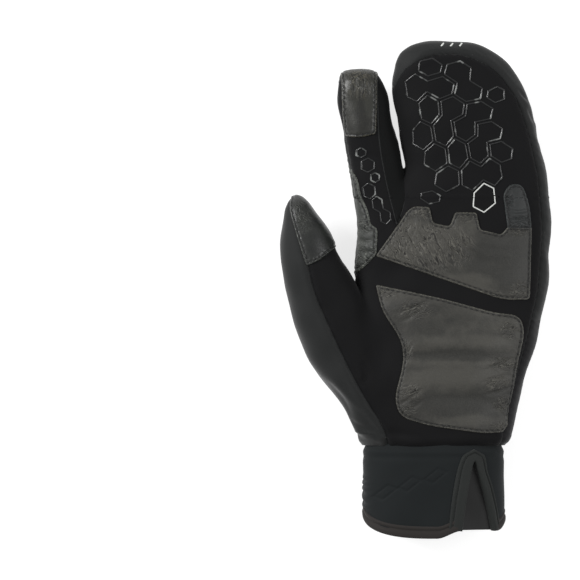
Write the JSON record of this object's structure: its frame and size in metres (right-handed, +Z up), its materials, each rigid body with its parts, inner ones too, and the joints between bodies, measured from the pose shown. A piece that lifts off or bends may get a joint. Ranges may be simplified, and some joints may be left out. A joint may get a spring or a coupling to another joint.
{
  "type": "lobster claw mitt",
  "caption": "Left-hand winter cycling mitt with one pocket for the index finger, one for three fingers, a thumb, palm grip patches and a slit cuff.",
  "frame": {"origin": "on the resting surface under the middle of the bounding box", "axes": "+Y from the hem to the fingertips, +Z up out of the palm, thumb towards -X"},
  "size_m": [0.147, 0.27, 0.0416],
  "materials": {
    "softshell": "matte",
    "palm_fabric": "matte",
    "back_fabric": "matte",
    "grey_leather": "satin",
    "dark_leather": "satin",
    "cuff_fabric": "matte",
    "binding_tape": "matte",
    "gusset_fabric": "matte",
    "reflective_piping": "satin"
  },
  "bodies": {
    "root": {"back_shell": "softshell", "back_panel": "back_fabric", "piping": "reflective_piping", "palm_shell": "palm_fabric", "fourchette": "palm_fabric", "thumb_shell": "softshell", "palm_leather_upper": "grey_leather", "palm_leather_lower": "grey_leather", "little_finger_leather": "dark_leather", "index_side_leather": "grey_leather", "thumb_crotch_leather": "grey_leather", "index_tip_leather": "dark_leather", "thumb_tip_leather": "dark_leather", "cuff": "cuff_fabric", "cuff_gusset": "gusset_fabric", "slit_binding": "binding_tape", "hem_binding": "binding_tape"}
  },
  "joints": []
}
